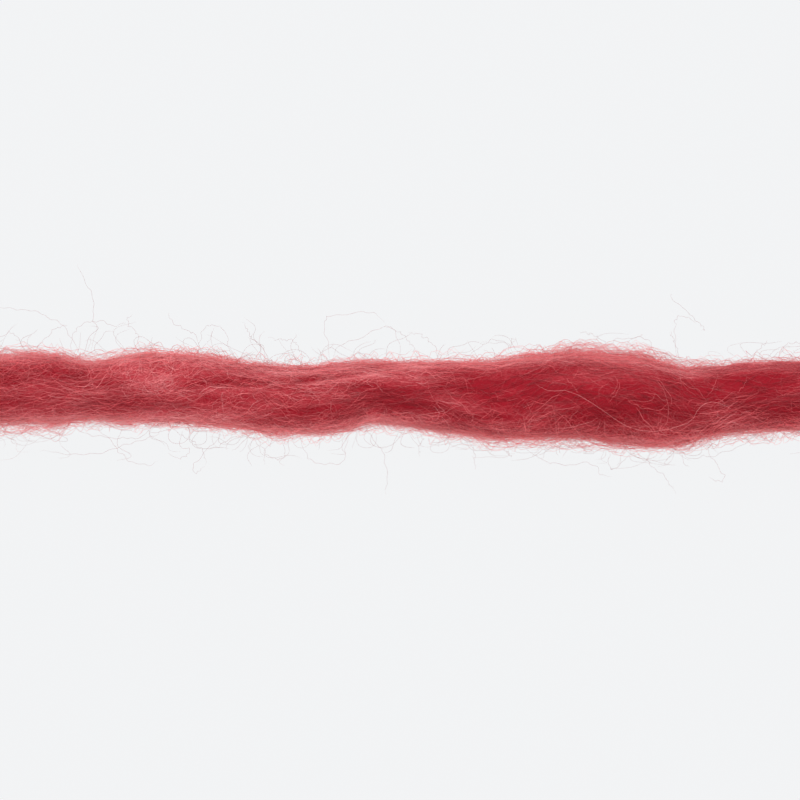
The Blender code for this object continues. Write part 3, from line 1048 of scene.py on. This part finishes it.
paths = settled_hairs(seed=420, stations=24)
longest = np.arange(len(SETTLED)) == 0
radius = np.where(longest, 0.0125, 0.0095) * MM
shade = np.where(longest, 0.80, 0.58)
add_hairs("settled_hairs", fuzz_finish, paths, radius, shade)

# --------------------------------------------------------------------
# The cut ends: short brushes of the same dyed wool hairs, cut or pulled to uneven lengths. Only the hairs
# round their roots hold them, and they splay a little past the body.


def end_hairs(seed, count, stations):
    """Hairs that leave each end lengthwise, with a random splay and curl that grow towards their tips. Their
    roots are spread evenly over the rounded nose, and right at its tip also over the face that closes it."""
    rng = np.random.default_rng(seed)
    each = (count, 1)
    t = np.linspace(0, 1, stations)
    end = rng.choice([-1.0, 1.0], each)
    length = (0.8 + 5.4 * rng.uniform(0, 1, each) ** 1.8) * MM
    into_nose = np.sin(np.radians(90 * rng.uniform(0, 1, each)))
    along = end * (LENGTH / 2 - NOSE_LENGTH * (1 - into_nose))
    around = rng.uniform(-60, 240, each)
    depth = 0.25 * MM + rng.uniform(0, 1, each) * section_at(along)[1] * into_nose**12
    root, out = on_strand(along, around, -depth)
    turns = rng.uniform(0.4, 1.2, each) * t + rng.uniform(0, 1, each)
    swing = 0.25 * np.sin(2 * np.pi * turns)
    splay = (rng.normal(0.20, 0.15, each) * t + swing * t**2) * length
    slip = rng.normal(0, 0.14, each) * length * t**1.4
    return stand_off(root, out, end * length * t, splay, slip), rng


paths, rng = end_hairs(seed=500, count=1640, stations=6)
add_varied_hairs("end_hairs", felted_finish, paths, rng, radius=(0.010, 0.017), shade=(0.45, 0.18))

# --------------------------------------------------------------------
# The strand as a whole is one free length of wool yarn, cut at both ends, with nothing tied or sewn to it.
# Its hairs are held by the wool they lie in, so they belong to it.

route_along = np.linspace(-LENGTH / 2, LENGTH / 2, 40)
middle, _, height, rise, _ = section_at(route_along)
route = np.stack([route_along, middle, rise + height / 2], axis=1)

# --------------------------------------------------------------------
# The studio: a plain pale surface that glows evenly, as a light table does, in an even white room, with a
# wide soft light behind the strand and another before it.

SURFACE_SIZE = 6.0
SURFACE_LEVEL = -0.02 * MM
SURFACE_GLOW = 0.897
ROOM_GLOW = 0.85
COOL_WHITE = (0.978, 0.988, 1.0, 1)
SOFTBOX_SIZE = 0.6

half = SURFACE_SIZE / 2
floor_mesh = bpy.data.meshes.new("surface")
floor_corners = [(-half, -half), (half, -half), (half, half), (-half, half)]
floor_mesh.from_pydata([(x, y, SURFACE_LEVEL) for x, y in floor_corners], [], [(0, 1, 2, 3)])
surface = bpy.data.objects.new("surface", floor_mesh)
bpy.context.scene.collection.objects.link(surface)
paper = Finish("pale_surface")
paper.set(Base_Color=(0.01, 0.01, 0.01, 1), Roughness=1.0, Specular_IOR_Level=0.0)
paper.set(Emission_Color=COOL_WHITE, Emission_Strength=SURFACE_GLOW)
floor_mesh.materials.append(paper.material)


def soft_light(name, place, power):
    """A square soft box aimed at the middle of the strand."""
    lamp = bpy.data.lights.new(name, "AREA")
    lamp.shape = "SQUARE"
    lamp.size = SOFTBOX_SIZE
    lamp.energy = power
    holder = bpy.data.objects.new(name, lamp)
    holder.location = place
    towards_strand = -holder.location
    holder.rotation_euler = towards_strand.to_track_quat("-Z", "Y").to_euler()
    bpy.context.scene.collection.objects.link(holder)


soft_light("back_softbox", place=(-0.15, 0.7, 0.5), power=5.0)
soft_light("front_softbox", place=(0.1, -0.7, 0.4), power=2.7)

world = bpy.data.worlds.new("room")
world.use_nodes = True
background = world.node_tree.nodes["Background"]
background.inputs["Color"].default_value = COOL_WHITE
background.inputs["Strength"].default_value = ROOM_GLOW
bpy.context.scene.world = world
bpy.context.scene.view_settings.view_transform = "Standard"
